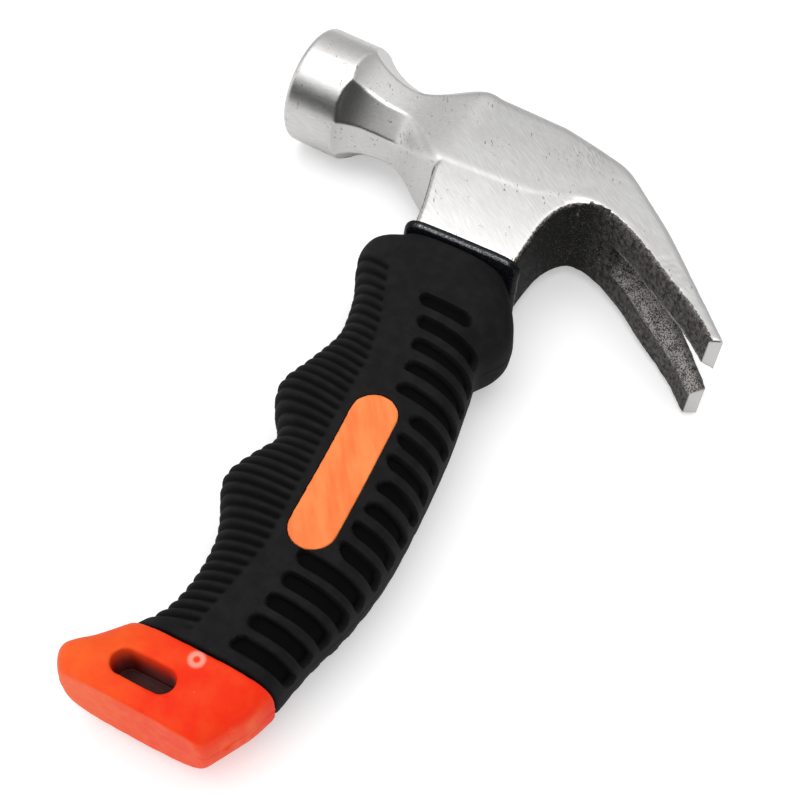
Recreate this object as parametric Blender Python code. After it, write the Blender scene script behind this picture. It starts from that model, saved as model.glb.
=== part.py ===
"""Stubby claw hammer lying on its side.

Design coordinates are millimetres: +x from the eye towards the claw, +y from the
butt towards the top of the head, +z out of the upper cheek.  The bell's axis is
y = 0, z = 0 and the eye's axis is x = 0, z = 0.  place() turns them into metres,
with the origin at the bottom centre of the whole hammer's box.
"""
import math

import bmesh
import bpy
from mathutils import Vector

# ---- driving sizes, millimetres ------------------------------------------------
FACE_REACH = 52.1        # eye axis to striking face
CLAW_REACH = 52.1        # eye axis to claw tips
BELL_RADIUS = 12.5
BELL_LENGTH = 11.8       # striking face to the middle of a neck facet
FACE_CHAMFER = 1.0
NECK_APOTHEM = 8.0       # axis to flat at the waist of the octagonal neck
NECK_DROP = 0.9          # the waist sits a little below the bell's axis
CHEEK_FRONT = 13.3       # eye axis to the corner where the neck meets the cheek
CHEEK_TOP = 9.8
CHEEK_DROP = 14.3        # bell axis to the cheek's lower edge, inside the skirt
CHEEK_HALF = 9.9         # half the thickness of the cheek
CHEEK_CORNER = 1.2       # chamfer along the cheek's edges
TIP_CORNER = 0.5         # and along the claw's edges at its tips
CLAW_HALF = 11.9         # half the width of the claw at its tips
SKIRT_DROP = 28.2        # bell axis to the bottom of the eye skirt
SKIRT_HALF = 9.3         # half the thickness of the skirt at its bottom
SKIRT_FRONT = 10.9       # eye axis to the skirt's front edge at its bottom
SKIRT_BACK = 10.7
SKIRT_TOP = 0.29         # where the skirt starts inside the cheek, as a share of its drop
SKIRT_CORNER = 0.7
EYE_LENGTH = 15.6        # the eye, along the head
EYE_WIDTH = 11.6         # the eye, across the head
EPOXY_LAYER = 0.9        # resin between the eye and the rod
EPOXY_RECESS = 0.5       # resin below the top of the head
EPOXY_CAP = 2.0          # resin over the end of the rod
BEAD_HEIGHT = 2.3        # squeezed-out bead between skirt and grip
BEAD_OVERHANG = 1.0      # how far the bead stands proud of the skirt
ROD_LENGTH = 72.0
GRIP_LENGTH = 92.3
GRIP_WALL = 2.6          # thickness of the soft cover over the core
BUTT_LENGTH = 13.0
BUTT_ROUND = 0.9
LAND_HALF = 4.15         # half the width of the raised land in the grip's window
HANG_SLOT_LENGTH = 12.1
HANG_SLOT_WIDTH = 5.0
HANG_SLOT_EDGE = 5.6     # butt end to the middle of the hanging slot
HANG_SLOT_X = -1.0
SLOT_TIP_TOP = 3.0       # half the nail slot at the claw's tips, outer side
SLOT_TIP_UNDER = 5.1     # and on the underside
SLOT_ROOT_TOP = 0.7       # the same at the slot's root
SLOT_ROOT_UNDER = 3.0
SLOT_RUN_IN = 2.2        # length over which the slot narrows to nothing at its root
HANG = 0.05              # rise of the collar, seam and butt lines for each mm of x
CLEARANCE = 0.3          # between pieces that touch

# ---- outlines ------------------------------------------------------------------
# cheek and claw: (top point, bottom point), x as a share of CLAW_REACH
CLAW_RUN = (
    ((0.058, 9.6), (0.096, -13.0)),
    ((0.163, 8.4), (0.211, -10.5)),
    ((0.259, 7.0), (0.278, -8.6)),
    ((0.365, 4.8), (0.345, -8.2)),
    ((0.489, -0.4), (0.432, -9.4)),
    ((0.622, -6.3), (0.547, -12.5)),
    ((0.760, -13.4), (0.683, -17.3)),
    ((0.894, -20.5), (0.833, -22.4)),
    ((1.000, -26.2), (0.950, -27.6)),
)
CLAW_FLARE_START = 0.2   # share of CLAW_REACH where the claw starts to widen
NAIL_SLOT_START = 0.50   # share of CLAW_REACH where the nail slot starts

# handle outlines: (share of the length from top to bottom, reach from the eye axis)
GRIP_FRONT = (
    (0.000, -15.2), (0.025, -17.5), (0.057, -18.0), (0.094, -16.9), (0.158, -13.9),
    (0.249, -11.3), (0.293, -11.1), (0.372, -12.9), (0.430, -14.4), (0.471, -13.1),
    (0.523, -9.5), (0.557, -8.5), (0.599, -10.2), (0.657, -12.0), (0.689, -11.2),
    (0.740, -8.3), (0.790, -6.3), (0.873, -5.3), (0.945, -6.1), (1.000, -8.9),
)
GRIP_BACK = (
    (0.000, 12.7), (0.023, 13.2), (0.079, 16.2), (0.127, 17.8), (0.160, 17.3),
    (0.205, 15.1), (0.257, 16.0), (0.398, 18.8), (0.585, 21.1), (0.700, 21.8),
    (0.818, 21.0), (0.905, 19.3), (1.000, 18.3),
)
GRIP_HALF = (
    (0.00, 10.3), (0.10, 11.3), (0.30, 11.3), (0.50, 11.4), (0.70, 11.0),
    (0.85, 9.8), (1.00, 8.4),
)
BUTT_FRONT = (
    (0.00, -8.9), (0.35, -12.8), (0.56, -15.7), (0.68, -16.2), (0.84, -15.2), (1.00, -13.4),
)
BUTT_BACK = ((0.00, 18.3), (0.35, 17.2), (0.55, 16.1), (0.78, 14.7), (1.00, 13.3))
BUTT_HALF = ((0.00, 8.4), (0.50, 8.2), (1.00, 7.9))
LAND_LINE = ((0.455, 6.1), (0.585, 7.6), (0.716, 8.8))

# ---- worked-out places ----------------------------------------------------------
MM = 0.001
OCTAGON_CORNER = 2 - math.sqrt(2)
GRIP_TOP = -(SKIRT_DROP + 2 * CLEARANCE + BEAD_HEIGHT)
SEAM = GRIP_TOP - GRIP_LENGTH
BUTT_TOP = SEAM - CLEARANCE
BUTT_END = BUTT_TOP - BUTT_LENGTH
ROD_TOP = CHEEK_TOP - EPOXY_RECESS - EPOXY_CAP - CLEARANCE
SWELL = 2.6              # exponent of the handle's rounded section
SLOT_OVERRUN = 0.2       # how far the nail slot's cutter passes the claw, in claw thicknesses


def butt_low_point():
    """The lowest y of the leaning butt end."""
    return BUTT_END + HANG * (BUTT_FRONT[-1][1] + BUTT_ROUND)


ORIGIN = Vector((
    (CLAW_REACH - FACE_REACH) / 2,
    (BELL_RADIUS + butt_low_point()) / 2,
    -BELL_RADIUS,
))


# ---- small tools ---------------------------------------------------------------
def place(x, y, z):
    """A point of the design in the part's own metres."""
    return (Vector((x, y, z)) - ORIGIN) * MM


def lean(x, y, z):
    """A point of the handle, whose cross lines rise towards the claw."""
    return place(x, y + HANG * x, z)


def ease(s):
    """0 to 1 with a soft start and a soft end."""
    s = min(max(s, 0.0), 1.0)
    return s * s * (3 - 2 * s)


def mix(a, b, s):
    return a + (b - a) * s


def through(points, t):
    """A smooth curve through (t, value) points."""
    index = 0
    while index < len(points) - 2 and t > points[index + 1][0]:
        index += 1
    (t1, v1), (t2, v2) = points[index], points[index + 1]
    t0, v0 = points[max(index - 1, 0)]
    t3, v3 = points[min(index + 2, len(points) - 1)]
    span = t2 - t1
    slope1 = (v2 - v0) / (t2 - t0) * span
    slope2 = (v3 - v1) / (t3 - t1) * span
    s = (t - t1) / span
    return (v1 * (2 * s ** 3 - 3 * s ** 2 + 1) + slope1 * (s ** 3 - 2 * s ** 2 + s)
            + v2 * (3 * s ** 2 - 2 * s ** 3) + slope2 * (s ** 3 - s ** 2))


def material(name, colour, roughness, metallic=0.0):
    surface = bpy.data.materials.new(name)
    surface.use_nodes = True
    shader = surface.node_tree.nodes["Principled BSDF"]
    shader.inputs["Base Color"].default_value = (*colour, 1.0)
    shader.inputs["Roughness"].default_value = roughness
    shader.inputs["Metallic"].default_value = metallic
    surface.diffuse_color = (*colour, 1.0)
    return surface


def finish(name, bm, surface=None):
    """Make an object; without a surface it is a cutter that the build leaves out."""
    bmesh.ops.recalc_face_normals(bm, faces=bm.faces)
    # the lofts' twisted quads become fixed triangles, which the Booleans cut the same each run
    bmesh.ops.triangulate(bm, faces=bm.faces)
    mesh = bpy.data.meshes.new(name)
    bm.to_mesh(mesh)
    bm.free()
    mesh.shade_smooth()
    mesh.set_sharp_from_angle(angle=math.radians(32))
    body = bpy.data.objects.new(name, mesh)
    bpy.context.scene.collection.objects.link(body)
    if surface is None:
        body.hide_render = True
        body.display_type = "WIRE"
    else:
        mesh.materials.append(surface)
    return body


def loft(name, rings, surface=None):
    """Extrude a cap from ring to ring; both ends stay closed."""
    bm = bmesh.new()
    first = bm.faces.new([bm.verts.new(point) for point in rings[0]])
    cap = first
    for ring in rings[1:]:
        grown = bmesh.ops.extrude_face_region(bm, geom=[cap])["geom"]
        if cap is not first:
            bmesh.ops.delete(bm, geom=[cap], context="FACES_ONLY")
        cap = next(item for item in grown if isinstance(item, bmesh.types.BMFace))
        for corner, point in zip(cap.verts, ring):
            corner.co = point
    return finish(name, bm, surface)


def combine(body, other, operation):
    """Leave a live Boolean on the body."""
    tool = body.modifiers.new(other.name, "BOOLEAN")
    tool.operation = operation
    tool.solver = "EXACT"
    tool.object = other


def rounded_ring(centre_x, half_x, y, half_z, turn_to, exponent=SWELL, count=24):
    """A rounded section of something that runs along y."""
    ring = []
    for step in range(count):
        angle = 2 * math.pi * step / count
        c, s = math.cos(angle), math.sin(angle)
        x = centre_x + half_x * math.copysign(abs(c) ** (2 / exponent), c)
        z = half_z * math.copysign(abs(s) ** (2 / exponent), s)
        ring.append(turn_to(x, y, z))
    return ring


# ---- head ----------------------------------------------------------------------
def head_section(top, bottom, half, corner):
    """A block section with chamfered corners, across the head's run."""
    top, bottom = Vector(top), Vector(bottom)
    step = (top - bottom).normalized() * corner
    side = half - corner
    upper, lower = top - step, bottom + step
    outline = ((top, side), (upper, half), (lower, half), (bottom, side),
               (bottom, -side), (lower, -half), (upper, -half), (top, -side))
    return [place(point.x, point.y, z) for point, z in outline]


def neck_apothem(x):
    """Axis to flat: the waist sweeps out to the bell on an elliptic arc."""
    bell_back = -FACE_REACH + BELL_LENGTH
    share = min((neck_waist() - x) / (neck_waist() - bell_back), 1.05)
    reach = 0.945
    rise = (1 - math.sqrt(1 - (reach * share) ** 2)) / (1 - math.sqrt(1 - reach ** 2))
    return mix(NECK_APOTHEM, BELL_RADIUS, rise)


def neck_waist():
    return mix(-CHEEK_FRONT, -FACE_REACH + BELL_LENGTH, 0.56)


def bell_sections():
    """Octagons wider than the bell, then the sweep down to the waist."""
    wide = BELL_RADIUS * 1.25
    bell_back = -FACE_REACH + BELL_LENGTH
    flare = bell_back - 0.045 * (neck_waist() - bell_back)
    stations = [(-FACE_REACH, wide), (flare - 1.0, wide)]
    for step in range(13):
        x = mix(flare, neck_waist(), step / 12)
        stations.append((x, neck_apothem(x)))
    sections = []
    for x, apothem in stations:
        drop = NECK_DROP * ease((x - bell_back) / (neck_waist() - bell_back))
        sections.append(head_section((x, apothem - drop), (x, -apothem - drop),
                                     apothem, apothem * OCTAGON_CORNER))
    return sections


def cheek_sections():
    """From the waist the octagon opens into the cheek."""
    sections = []
    for step in range(1, 9):
        s = ease(step / 8)
        x = mix(neck_waist(), -CHEEK_FRONT, step / 8)
        sections.append(head_section(
            (x, mix(NECK_APOTHEM - NECK_DROP, CHEEK_TOP, s)),
            (x, mix(-NECK_APOTHEM - NECK_DROP, -CHEEK_DROP, s)),
            mix(NECK_APOTHEM, CHEEK_HALF, s),
            mix(NECK_APOTHEM * OCTAGON_CORNER, CHEEK_CORNER, s)))
    return sections


def claw_pair(t):
    """Top and bottom point of the claw at t from 0, its first section, to 1, its tips."""
    count = len(CLAW_RUN) - 1
    pair = []
    for side in (0, 1):
        xs = [(i / count, section[side][0] * CLAW_REACH) for i, section in enumerate(CLAW_RUN)]
        ys = [(i / count, section[side][1]) for i, section in enumerate(CLAW_RUN)]
        pair.append(Vector((through(xs, t), through(ys, t))))
    return pair


def claw_half(x):
    """Half the width of cheek and claw at x."""
    start = CLAW_FLARE_START * CLAW_REACH
    return mix(CHEEK_HALF, CLAW_HALF, max(x - start, 0) / (CLAW_REACH - start))


def claw_sections(steps=32):
    sections = []
    for step in range(steps + 1):
        top, bottom = claw_pair(step / steps)
        sections.append(head_section(top, bottom, claw_half((top.x + bottom.x) / 2),
                                     mix(CHEEK_CORNER, TIP_CORNER, step / steps)))
    return sections


def skirt_sections():
    """The eye skirt hangs below the cheek and narrows towards the collar."""
    rows = (  # (share of the drop, front edge, back edge), edges past those at the bottom
        (SKIRT_TOP, 2.2, 9.0), (0.31, 2.4, 5.2), (0.35, 2.8, 3.4), (0.42, 3.4, 1.9),
        (0.50, 3.7, 0.9), (0.62, 2.7, 0.2), (0.80, 1.2, 0.0), (1.00, 0.0, 0.0),
    )
    sections = []
    for share, front, back in rows:
        half = mix(CHEEK_HALF, SKIRT_HALF, (share - SKIRT_TOP) / (1 - SKIRT_TOP))
        sections.append(skirt_ring(-SKIRT_FRONT - front, SKIRT_BACK + back,
                                   -SKIRT_DROP * share, half, SKIRT_CORNER))
    return sections


def skirt_ring(left, right, y, half, corner):
    """A chamfered block section of the skirt, on a leaning cross line."""
    outline = ((left, half - corner), (left + corner, half), (right - corner, half),
               (right, half - corner), (right, corner - half), (right - corner, -half),
               (left + corner, -half), (left, corner - half))
    return [lean(x, y, z) for x, z in outline]


def bell_shaper():
    """A thick tube whose bore turns the octagon into the round bell and its rim."""
    bm = bmesh.new()
    rim = BELL_RADIUS - FACE_CHAMFER
    far = BELL_RADIUS * 3
    back = neck_waist()
    profile = ((-FACE_REACH - 1, rim - 1), (-FACE_REACH + FACE_CHAMFER, BELL_RADIUS),
               (back, BELL_RADIUS), (back, far), (-FACE_REACH - 1, far))
    verts = [bm.verts.new(place(x, radius, 0)) for x, radius in profile]
    edges = [bm.edges.new((verts[i], verts[i - 1])) for i in range(len(verts))]
    bmesh.ops.spin(bm, geom=verts + edges, cent=place(0, 0, 0), axis=(1, 0, 0),
                   angle=2 * math.pi, steps=64, use_merge=True)
    return finish("bell_shaper", bm)


def nail_slot():
    """The V between the prongs, wider on the underside of the claw."""
    rings = []
    start = 0.0
    while claw_pair(start)[0].x < NAIL_SLOT_START * CLAW_REACH:
        start += 0.01
    steps = 10
    for step in range(-1, steps + 2):
        s = max(step / steps, 0.0)
        top, bottom = claw_pair(min(mix(start, 1.0, s), 1.0))
        if step > steps:
            before = claw_pair(mix(start, 1.0, 1 - 1 / steps))
            top, bottom = 2 * top - before[0], 2 * bottom - before[1]
        overrun = (top - bottom) * SLOT_OVERRUN
        outer, under = top + overrun, bottom - overrun
        wide = mix(SLOT_ROOT_UNDER, SLOT_TIP_UNDER, s)
        narrow = mix(SLOT_ROOT_TOP, SLOT_TIP_TOP, s)
        if step < 0:
            run_in = (claw_pair(start + 0.01)[1] - bottom).normalized() * SLOT_RUN_IN
            outer, under = outer - run_in, under - run_in
            wide, narrow = 0.25, 0.2
        spread = (wide - narrow) * SLOT_OVERRUN
        narrow, wide = narrow - spread, wide + spread
        rings.append([place(outer.x, outer.y, narrow), place(under.x, under.y, wide),
                      place(under.x, under.y, -wide), place(outer.x, outer.y, -narrow)])
    return loft("nail_slot", rings)


def straight_prism(name, half_x, half_z, low, high, surface=None, exponent=4.0, count=24):
    """An upright rounded block along y, for the eye and what stands in it."""
    rings = [rounded_ring(0, half_x, y, half_z, place, exponent, count) for y in (high, low)]
    return loft(name, rings, surface)


def make_head(steel):
    head = loft("claw_hammer_head", bell_sections() + cheek_sections() + claw_sections(), steel)
    combine(head, loft("eye_skirt", skirt_sections()), "UNION")
    combine(head, bell_shaper(), "DIFFERENCE")
    combine(head, nail_slot(), "DIFFERENCE")
    eye = straight_prism("eye", EYE_LENGTH / 2, EYE_WIDTH / 2, -SKIRT_DROP - 5, CHEEK_TOP + 5)
    combine(head, eye, "DIFFERENCE")


# ---- rod and resin -------------------------------------------------------------
def rod_half(size):
    """Half a rod size: the eye less the resin and a clearance on either side."""
    return size / 2 - EPOXY_LAYER - 2 * CLEARANCE


def rod_socket(name, low):
    """The hole that takes the rod, in the resin and in the core."""
    return straight_prism(name, rod_half(EYE_LENGTH) + CLEARANCE, rod_half(EYE_WIDTH) + CLEARANCE,
                          low, ROD_TOP + CLEARANCE)


def make_rod(fibreglass):
    straight_prism("core_rod", rod_half(EYE_LENGTH), rod_half(EYE_WIDTH),
                   ROD_TOP - ROD_LENGTH, ROD_TOP, fibreglass)


def bead_rings():
    """A round-edged collar that follows the skirt's bottom."""
    top = -SKIRT_DROP - CLEARANCE
    rings = []
    for step in range(7):
        angle = math.pi * step / 6
        bulge = BEAD_OVERHANG * (math.sin(angle) * 1.5 - 0.5)
        y = top - BEAD_HEIGHT * (1 - math.cos(angle)) / 2
        half_x = (SKIRT_FRONT + SKIRT_BACK) / 2 + bulge
        rings.append(rounded_ring((SKIRT_BACK - SKIRT_FRONT) / 2, half_x, y,
                                  SKIRT_HALF + bulge, lean, 7.0, 40))
    return rings


def make_epoxy(resin):
    plug = straight_prism("eye_epoxy", EYE_LENGTH / 2 - CLEARANCE, EYE_WIDTH / 2 - CLEARANCE,
                          -SKIRT_DROP - CLEARANCE - BEAD_HEIGHT / 2, CHEEK_TOP - EPOXY_RECESS, resin)
    combine(plug, loft("squeezed_bead", bead_rings()), "UNION")
    combine(plug, rod_socket("epoxy_rod_hole", GRIP_TOP - 10), "DIFFERENCE")


# ---- handle --------------------------------------------------------------------
def grip_ring(t, inset, count=24):
    """The handle's section at share t of the grip, pulled in by inset."""
    front, back = through(GRIP_FRONT, t), through(GRIP_BACK, t)
    y = mix(GRIP_TOP, SEAM, t)
    return rounded_ring((front + back) / 2, (back - front) / 2 - inset, y,
                        through(GRIP_HALF, t) - inset, lean, SWELL, count)


def butt_ring(t, inset):
    front, back = through(BUTT_FRONT, t), through(BUTT_BACK, t)
    y = mix(BUTT_TOP, BUTT_END, t)
    return rounded_ring((front + back) / 2, (back - front) / 2 - inset, y,
                        through(BUTT_HALF, t) - inset, lean, 3.6)


def grip_solid(name, inset, surface=None, steps=44, past=0.0):
    """The grip's outer shape, or its hollow when inset; past runs it out of both ends."""
    rings = [grip_ring(step / steps, inset) for step in range(steps + 1)]
    if past:
        drift = Vector((0, past * MM, 0))
        rings = [[p + drift for p in rings[0]]] + rings + [[p - drift for p in rings[-1]]]
    return loft(name, rings, surface)


def land_point(t):
    return Vector((through(LAND_LINE, t), mix(GRIP_TOP, SEAM, t)))


def land_prism(name, half):
    """A slightly bent capsule, straight through the handle."""
    first, last = LAND_LINE[0][0], LAND_LINE[-1][0]
    outline = []
    for side in (1, -1):
        for step in range(5):
            t = mix(first, last, step / 4) if side > 0 else mix(last, first, step / 4)
            point = land_point(t)
            ahead = (land_point(t + 0.01) - land_point(t - 0.01)).normalized()
            outline.append(point + side * half * Vector((-ahead.y, ahead.x)))
        end = land_point(last if side > 0 else first)
        run = (land_point(last) - land_point(first)).normalized() * side
        across = Vector((-run.y, run.x))
        for step in range(1, 8):
            angle = math.pi * step / 8
            outline.append(end + half * (across * math.cos(angle) + run * math.sin(angle)))
    reach = 2 * CHEEK_HALF
    return loft(name, [[lean(p.x, p.y, z) for p in outline] for z in (reach, -reach)])


def capsule_hole(name, x, y, length, width, reach):
    """A round-ended slot along x, straight through the thickness."""
    radius = width / 2
    outline = []
    for side in (1, -1):
        for step in range(9):
            angle = math.pi * (step / 8 - 0.5)
            outline.append((x + side * ((length - width) / 2 + radius * math.cos(angle)),
                            y + side * radius * math.sin(angle)))
    return loft(name, [[lean(px, py, z) for px, py in outline] for z in (reach, -reach)])


def make_core(plastic):
    """Butt, stem under the grip, and the lands that show in the grip's windows."""
    inset = GRIP_WALL + CLEARANCE
    stem = [grip_ring(step / 24, inset) for step in range(25)]
    butt = [butt_ring(t, 0.0) for t in (0.0, 0.15, 0.3, 0.45, 0.6, 0.7, 0.8, 0.88)]
    edge = 1 - BUTT_ROUND / BUTT_LENGTH
    butt += [butt_ring(edge, 0.0), butt_ring(mix(edge, 1, 0.7), BUTT_ROUND * 0.3),
             butt_ring(1.0, BUTT_ROUND)]
    core = loft("handle_core", stem, plastic)
    root = grip_ring(1.0, inset)
    drift = Vector((0, -2 * MM, 0))
    combine(core, loft("stem_root", [grip_ring(0.98, inset), root, [p + drift for p in root]]), "UNION")
    combine(core, loft("butt", butt), "UNION")
    lands = land_prism("lands", LAND_HALF)
    combine(lands, grip_solid("land_height", CLEARANCE / 2), "INTERSECT")
    combine(core, lands, "UNION")
    combine(core, rod_socket("core_rod_hole", ROD_TOP - ROD_LENGTH - CLEARANCE), "DIFFERENCE")
    combine(core, capsule_hole("hanging_slot", HANG_SLOT_X, BUTT_END + HANG_SLOT_EDGE,
                               HANG_SLOT_LENGTH, HANG_SLOT_WIDTH, 2 * CHEEK_HALF), "DIFFERENCE")


def make_grip(rubber):
    grip = grip_solid("grip", 0.0, rubber)
    combine(grip, grip_solid("grip_hollow", GRIP_WALL, steps=24, past=5.0), "DIFFERENCE")
    combine(grip, land_prism("windows", LAND_HALF + CLEARANCE), "DIFFERENCE")


# ---- the hammer ----------------------------------------------------------------
for old in list(bpy.data.objects):
    bpy.data.objects.remove(old, do_unlink=True)

make_head(material("forged_steel", (0.62, 0.62, 0.62), 0.32, 1.0))
make_epoxy(material("black_epoxy", (0.012, 0.013, 0.015), 0.15))
make_rod(material("fibreglass", (0.72, 0.62, 0.38), 0.5))
make_core(material("orange_plastic", (0.90, 0.13, 0.03), 0.38))
make_grip(material("black_rubber", (0.02, 0.02, 0.021), 0.7))
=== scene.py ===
"""Stubby claw hammer: finished surfaces, floor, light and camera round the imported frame.

Pieces are shaped in design millimetres: +x from the eye to the claw, +y from the butt to the
top of the head, +z out of the upper cheek.  The bell's axis is y = 0, z = 0 and the eye's
axis is x = 0, z = 0.  into_frame() turns a finished piece into the frame's metres.
"""
import math

import bmesh
import bpy
import numpy as np
from mathutils import Matrix, Vector, kdtree, noise


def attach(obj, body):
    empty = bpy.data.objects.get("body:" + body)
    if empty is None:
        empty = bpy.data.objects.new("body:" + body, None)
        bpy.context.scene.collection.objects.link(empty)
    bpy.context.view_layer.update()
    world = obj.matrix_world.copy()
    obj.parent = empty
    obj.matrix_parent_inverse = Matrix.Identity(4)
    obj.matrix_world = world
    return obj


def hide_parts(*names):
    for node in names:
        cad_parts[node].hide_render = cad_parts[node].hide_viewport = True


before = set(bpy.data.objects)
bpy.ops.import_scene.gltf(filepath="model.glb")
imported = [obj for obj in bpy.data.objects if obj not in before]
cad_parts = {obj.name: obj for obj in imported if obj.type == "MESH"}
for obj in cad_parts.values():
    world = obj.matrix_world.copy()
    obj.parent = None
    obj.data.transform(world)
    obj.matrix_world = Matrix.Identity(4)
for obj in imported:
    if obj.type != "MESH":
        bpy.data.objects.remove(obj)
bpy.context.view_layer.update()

# ---- sizes of the hammer, millimetres -------------------------------------------------
FACE_REACH = 52.1
CLAW_REACH = 52.1
BELL_RADIUS = 12.5
BELL_LENGTH = 11.8
FACE_CHAMFER = 1.0
NECK_APOTHEM = 8.0
NECK_DROP = 0.9
CHEEK_FRONT = 13.3
CHEEK_TOP = 9.8
CHEEK_DROP = 14.3
CHEEK_HALF = 9.9
CHEEK_CORNER = 1.2
TIP_CORNER = 0.5
CLAW_HALF = 11.9
SKIRT_DROP = 28.2
SKIRT_HALF = 9.3
SKIRT_FRONT = 10.9
SKIRT_BACK = 10.7
SKIRT_TOP = 0.29
SKIRT_CORNER = 0.7
EYE_LENGTH = 15.6
EYE_WIDTH = 11.6
EPOXY_LAYER = 0.9
EPOXY_RECESS = 0.5
EPOXY_CAP = 2.0
BEAD_HEIGHT = 2.3
BEAD_OVERHANG = 1.0
BEAD_SWELL_OUT = 1.85    # bulge of the visible roll, as a share of the overhang
BEAD_TUCK_IN = 0.5       # how far its edges tuck in, as a share of the overhang
BEAD_HIGHLIGHT = 0.76        # share of the bead's height down to its painted highlight line
ROD_LENGTH = 72.0
GRIP_LENGTH = 92.3
GRIP_WALL = 2.6
GRIP_LIP = 1.0           # thickness of the cover's top, over the end of the core's stem
SHOULDER_ROUND = 0.6     # rounding of the cover's top edge
SHOULDER_PULL = 0.35     # the collar below the bead is drawn in by this much
SHOULDER_CORNERS = 1.1   # and by this much more at the front and back
BUTT_LENGTH = 13.0
BUTT_ROUND = 0.9
LAND_HALF = 4.15
LAND_PROUD = 0.12        # the land stands this far out of the grip's smooth shape
WINDOW_GAP = 0.12        # between the land and the edge of the grip's window
HANG_SLOT_LENGTH = 12.1
HANG_SLOT_WIDTH = 5.0
HANG_SLOT_EDGE = 5.6
HANG_SLOT_X = -1.0
HANG_SLOT_INSET = 0.3    # the slot's visible walls stand this far inside the CAD slot
HANG_SLOT_FLARE = 0.2    # and open by this much at both faces
SLOT_TIP_TOP = 3.0
SLOT_TIP_UNDER = 5.1
SLOT_ROOT_TOP = 0.7
SLOT_ROOT_UNDER = 3.0
SLOT_RUN_IN = 2.2        # length over which the nail slot narrows to nothing at its root
SLOT_OVERRUN = 0.2       # share of the claw's depth that the slot's cutter stands out of it
SCOOP_SIZE = (4.4, 1.5, 3.3)     # half axes of the hollow at the slot's root
SCOOP_PLACE = (22.6, -9.5, 0)
SCOOP_TILT = -22         # degrees
CHEEK_CROWN = 0.70       # fall of the cheek from its middle to its edges
NAIL_SLOT_START = 0.50
CLAW_FLARE_START = 0.2
HANG = 0.05              # rise of the collar, seam and butt lines for each mm of x
CLEARANCE = 0.3

# cheek and claw: (top point, bottom point), x as a share of CLAW_REACH
CLAW_RUN = (
    ((0.058, 9.6), (0.096, -13.0)),
    ((0.163, 8.4), (0.211, -10.5)),
    ((0.259, 7.0), (0.278, -8.6)),
    ((0.365, 4.8), (0.345, -8.2)),
    ((0.489, -0.4), (0.432, -9.4)),
    ((0.622, -6.3), (0.547, -12.5)),
    ((0.760, -13.4), (0.683, -17.3)),
    ((0.894, -20.5), (0.833, -22.4)),
    ((1.000, -26.2), (0.950, -27.6)),
)
# handle outlines: (share of the length from top to bottom, reach from the eye axis)
GRIP_FRONT = (
    (0.000, -15.2), (0.025, -17.5), (0.057, -18.0), (0.094, -16.9), (0.158, -13.9),
    (0.249, -11.3), (0.293, -11.1), (0.372, -12.9), (0.430, -14.4), (0.471, -13.1),
    (0.523, -9.5), (0.557, -8.5), (0.599, -10.2), (0.657, -12.0), (0.689, -11.2),
    (0.740, -8.3), (0.790, -6.3), (0.873, -5.3), (0.945, -6.1), (1.000, -8.9),
)
GRIP_BACK = (
    (0.000, 12.7), (0.023, 13.2), (0.079, 16.2), (0.127, 17.8), (0.160, 17.3),
    (0.205, 15.1), (0.257, 16.0), (0.398, 18.8), (0.585, 21.1), (0.700, 21.8),
    (0.818, 21.0), (0.905, 19.3), (1.000, 18.3),
)
GRIP_HALF = (
    (0.00, 10.3), (0.10, 11.3), (0.30, 11.3), (0.50, 11.4), (0.70, 11.0),
    (0.85, 9.8), (1.00, 8.4),
)
BUTT_FRONT = (
    (0.00, -8.9), (0.35, -12.8), (0.56, -15.7), (0.68, -16.2), (0.84, -15.2), (1.00, -13.4),
)
BUTT_BACK = ((0.00, 18.3), (0.35, 17.2), (0.55, 16.1), (0.78, 14.7), (1.00, 13.3))
BUTT_HALF = ((0.00, 8.4), (0.50, 8.2), (1.00, 7.9))
LAND_LINE = ((0.455, 6.1), (0.585, 7.6), (0.716, 8.8))

# tread of the grip
RIB_PITCH = 1.95
RIB_SLOPE = -0.6775      # rise of a rib towards the claw, if it crossed the eye's axis at y = 0
RIB_FAN = -0.0075        # change of that rise for each mm of y
RIB_DEPTH = 0.55
RIB_TOP = -44.65         # y where the first rib would cross the eye's axis
RIB_ENDS = ((-42.8, -8.3), (-54.0, -3.3), (-63.0, -0.6), (-78.0, 1.0), (-90.0, 2.6),
            (-103.0, 4.1), (-121.0, 2.0))      # (y, x) of the ribs' inner ends
BAR_COUNT = 17           # wide slots up the back of the grip
BAR_LINES = ((0, -46.3), (4, -65.8), (8, -85.0), (12, -103.2), (16, -120.2))   # (slot, y)
BAR_HALF = 1.3
BAR_DEPTH = 1.25
BAR_STARTS = ((-44.9, -0.5), (-50.1, 2.0), (-60.0, 5.3), (-70.0, 7.6), (-101.0, 9.6),
              (-111.0, 9.2), (-120.5, 8.0))    # (y, x) of the slots' front ends
BAR_LAND_GAP = 1.7       # land to the slots beside it
BAR_BACK_MARGIN = 2.4    # slots stop this far before the parting line at the back
SHORT_BARS = (8.0, 12.5)  # lengths of the slots nearest the head

HEAD_GRAIN = 0.36        # size of the even mesh that rounds each body's edges
BUTT_GRAIN = 0.3
LAND_GRAIN = 0.24

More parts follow.
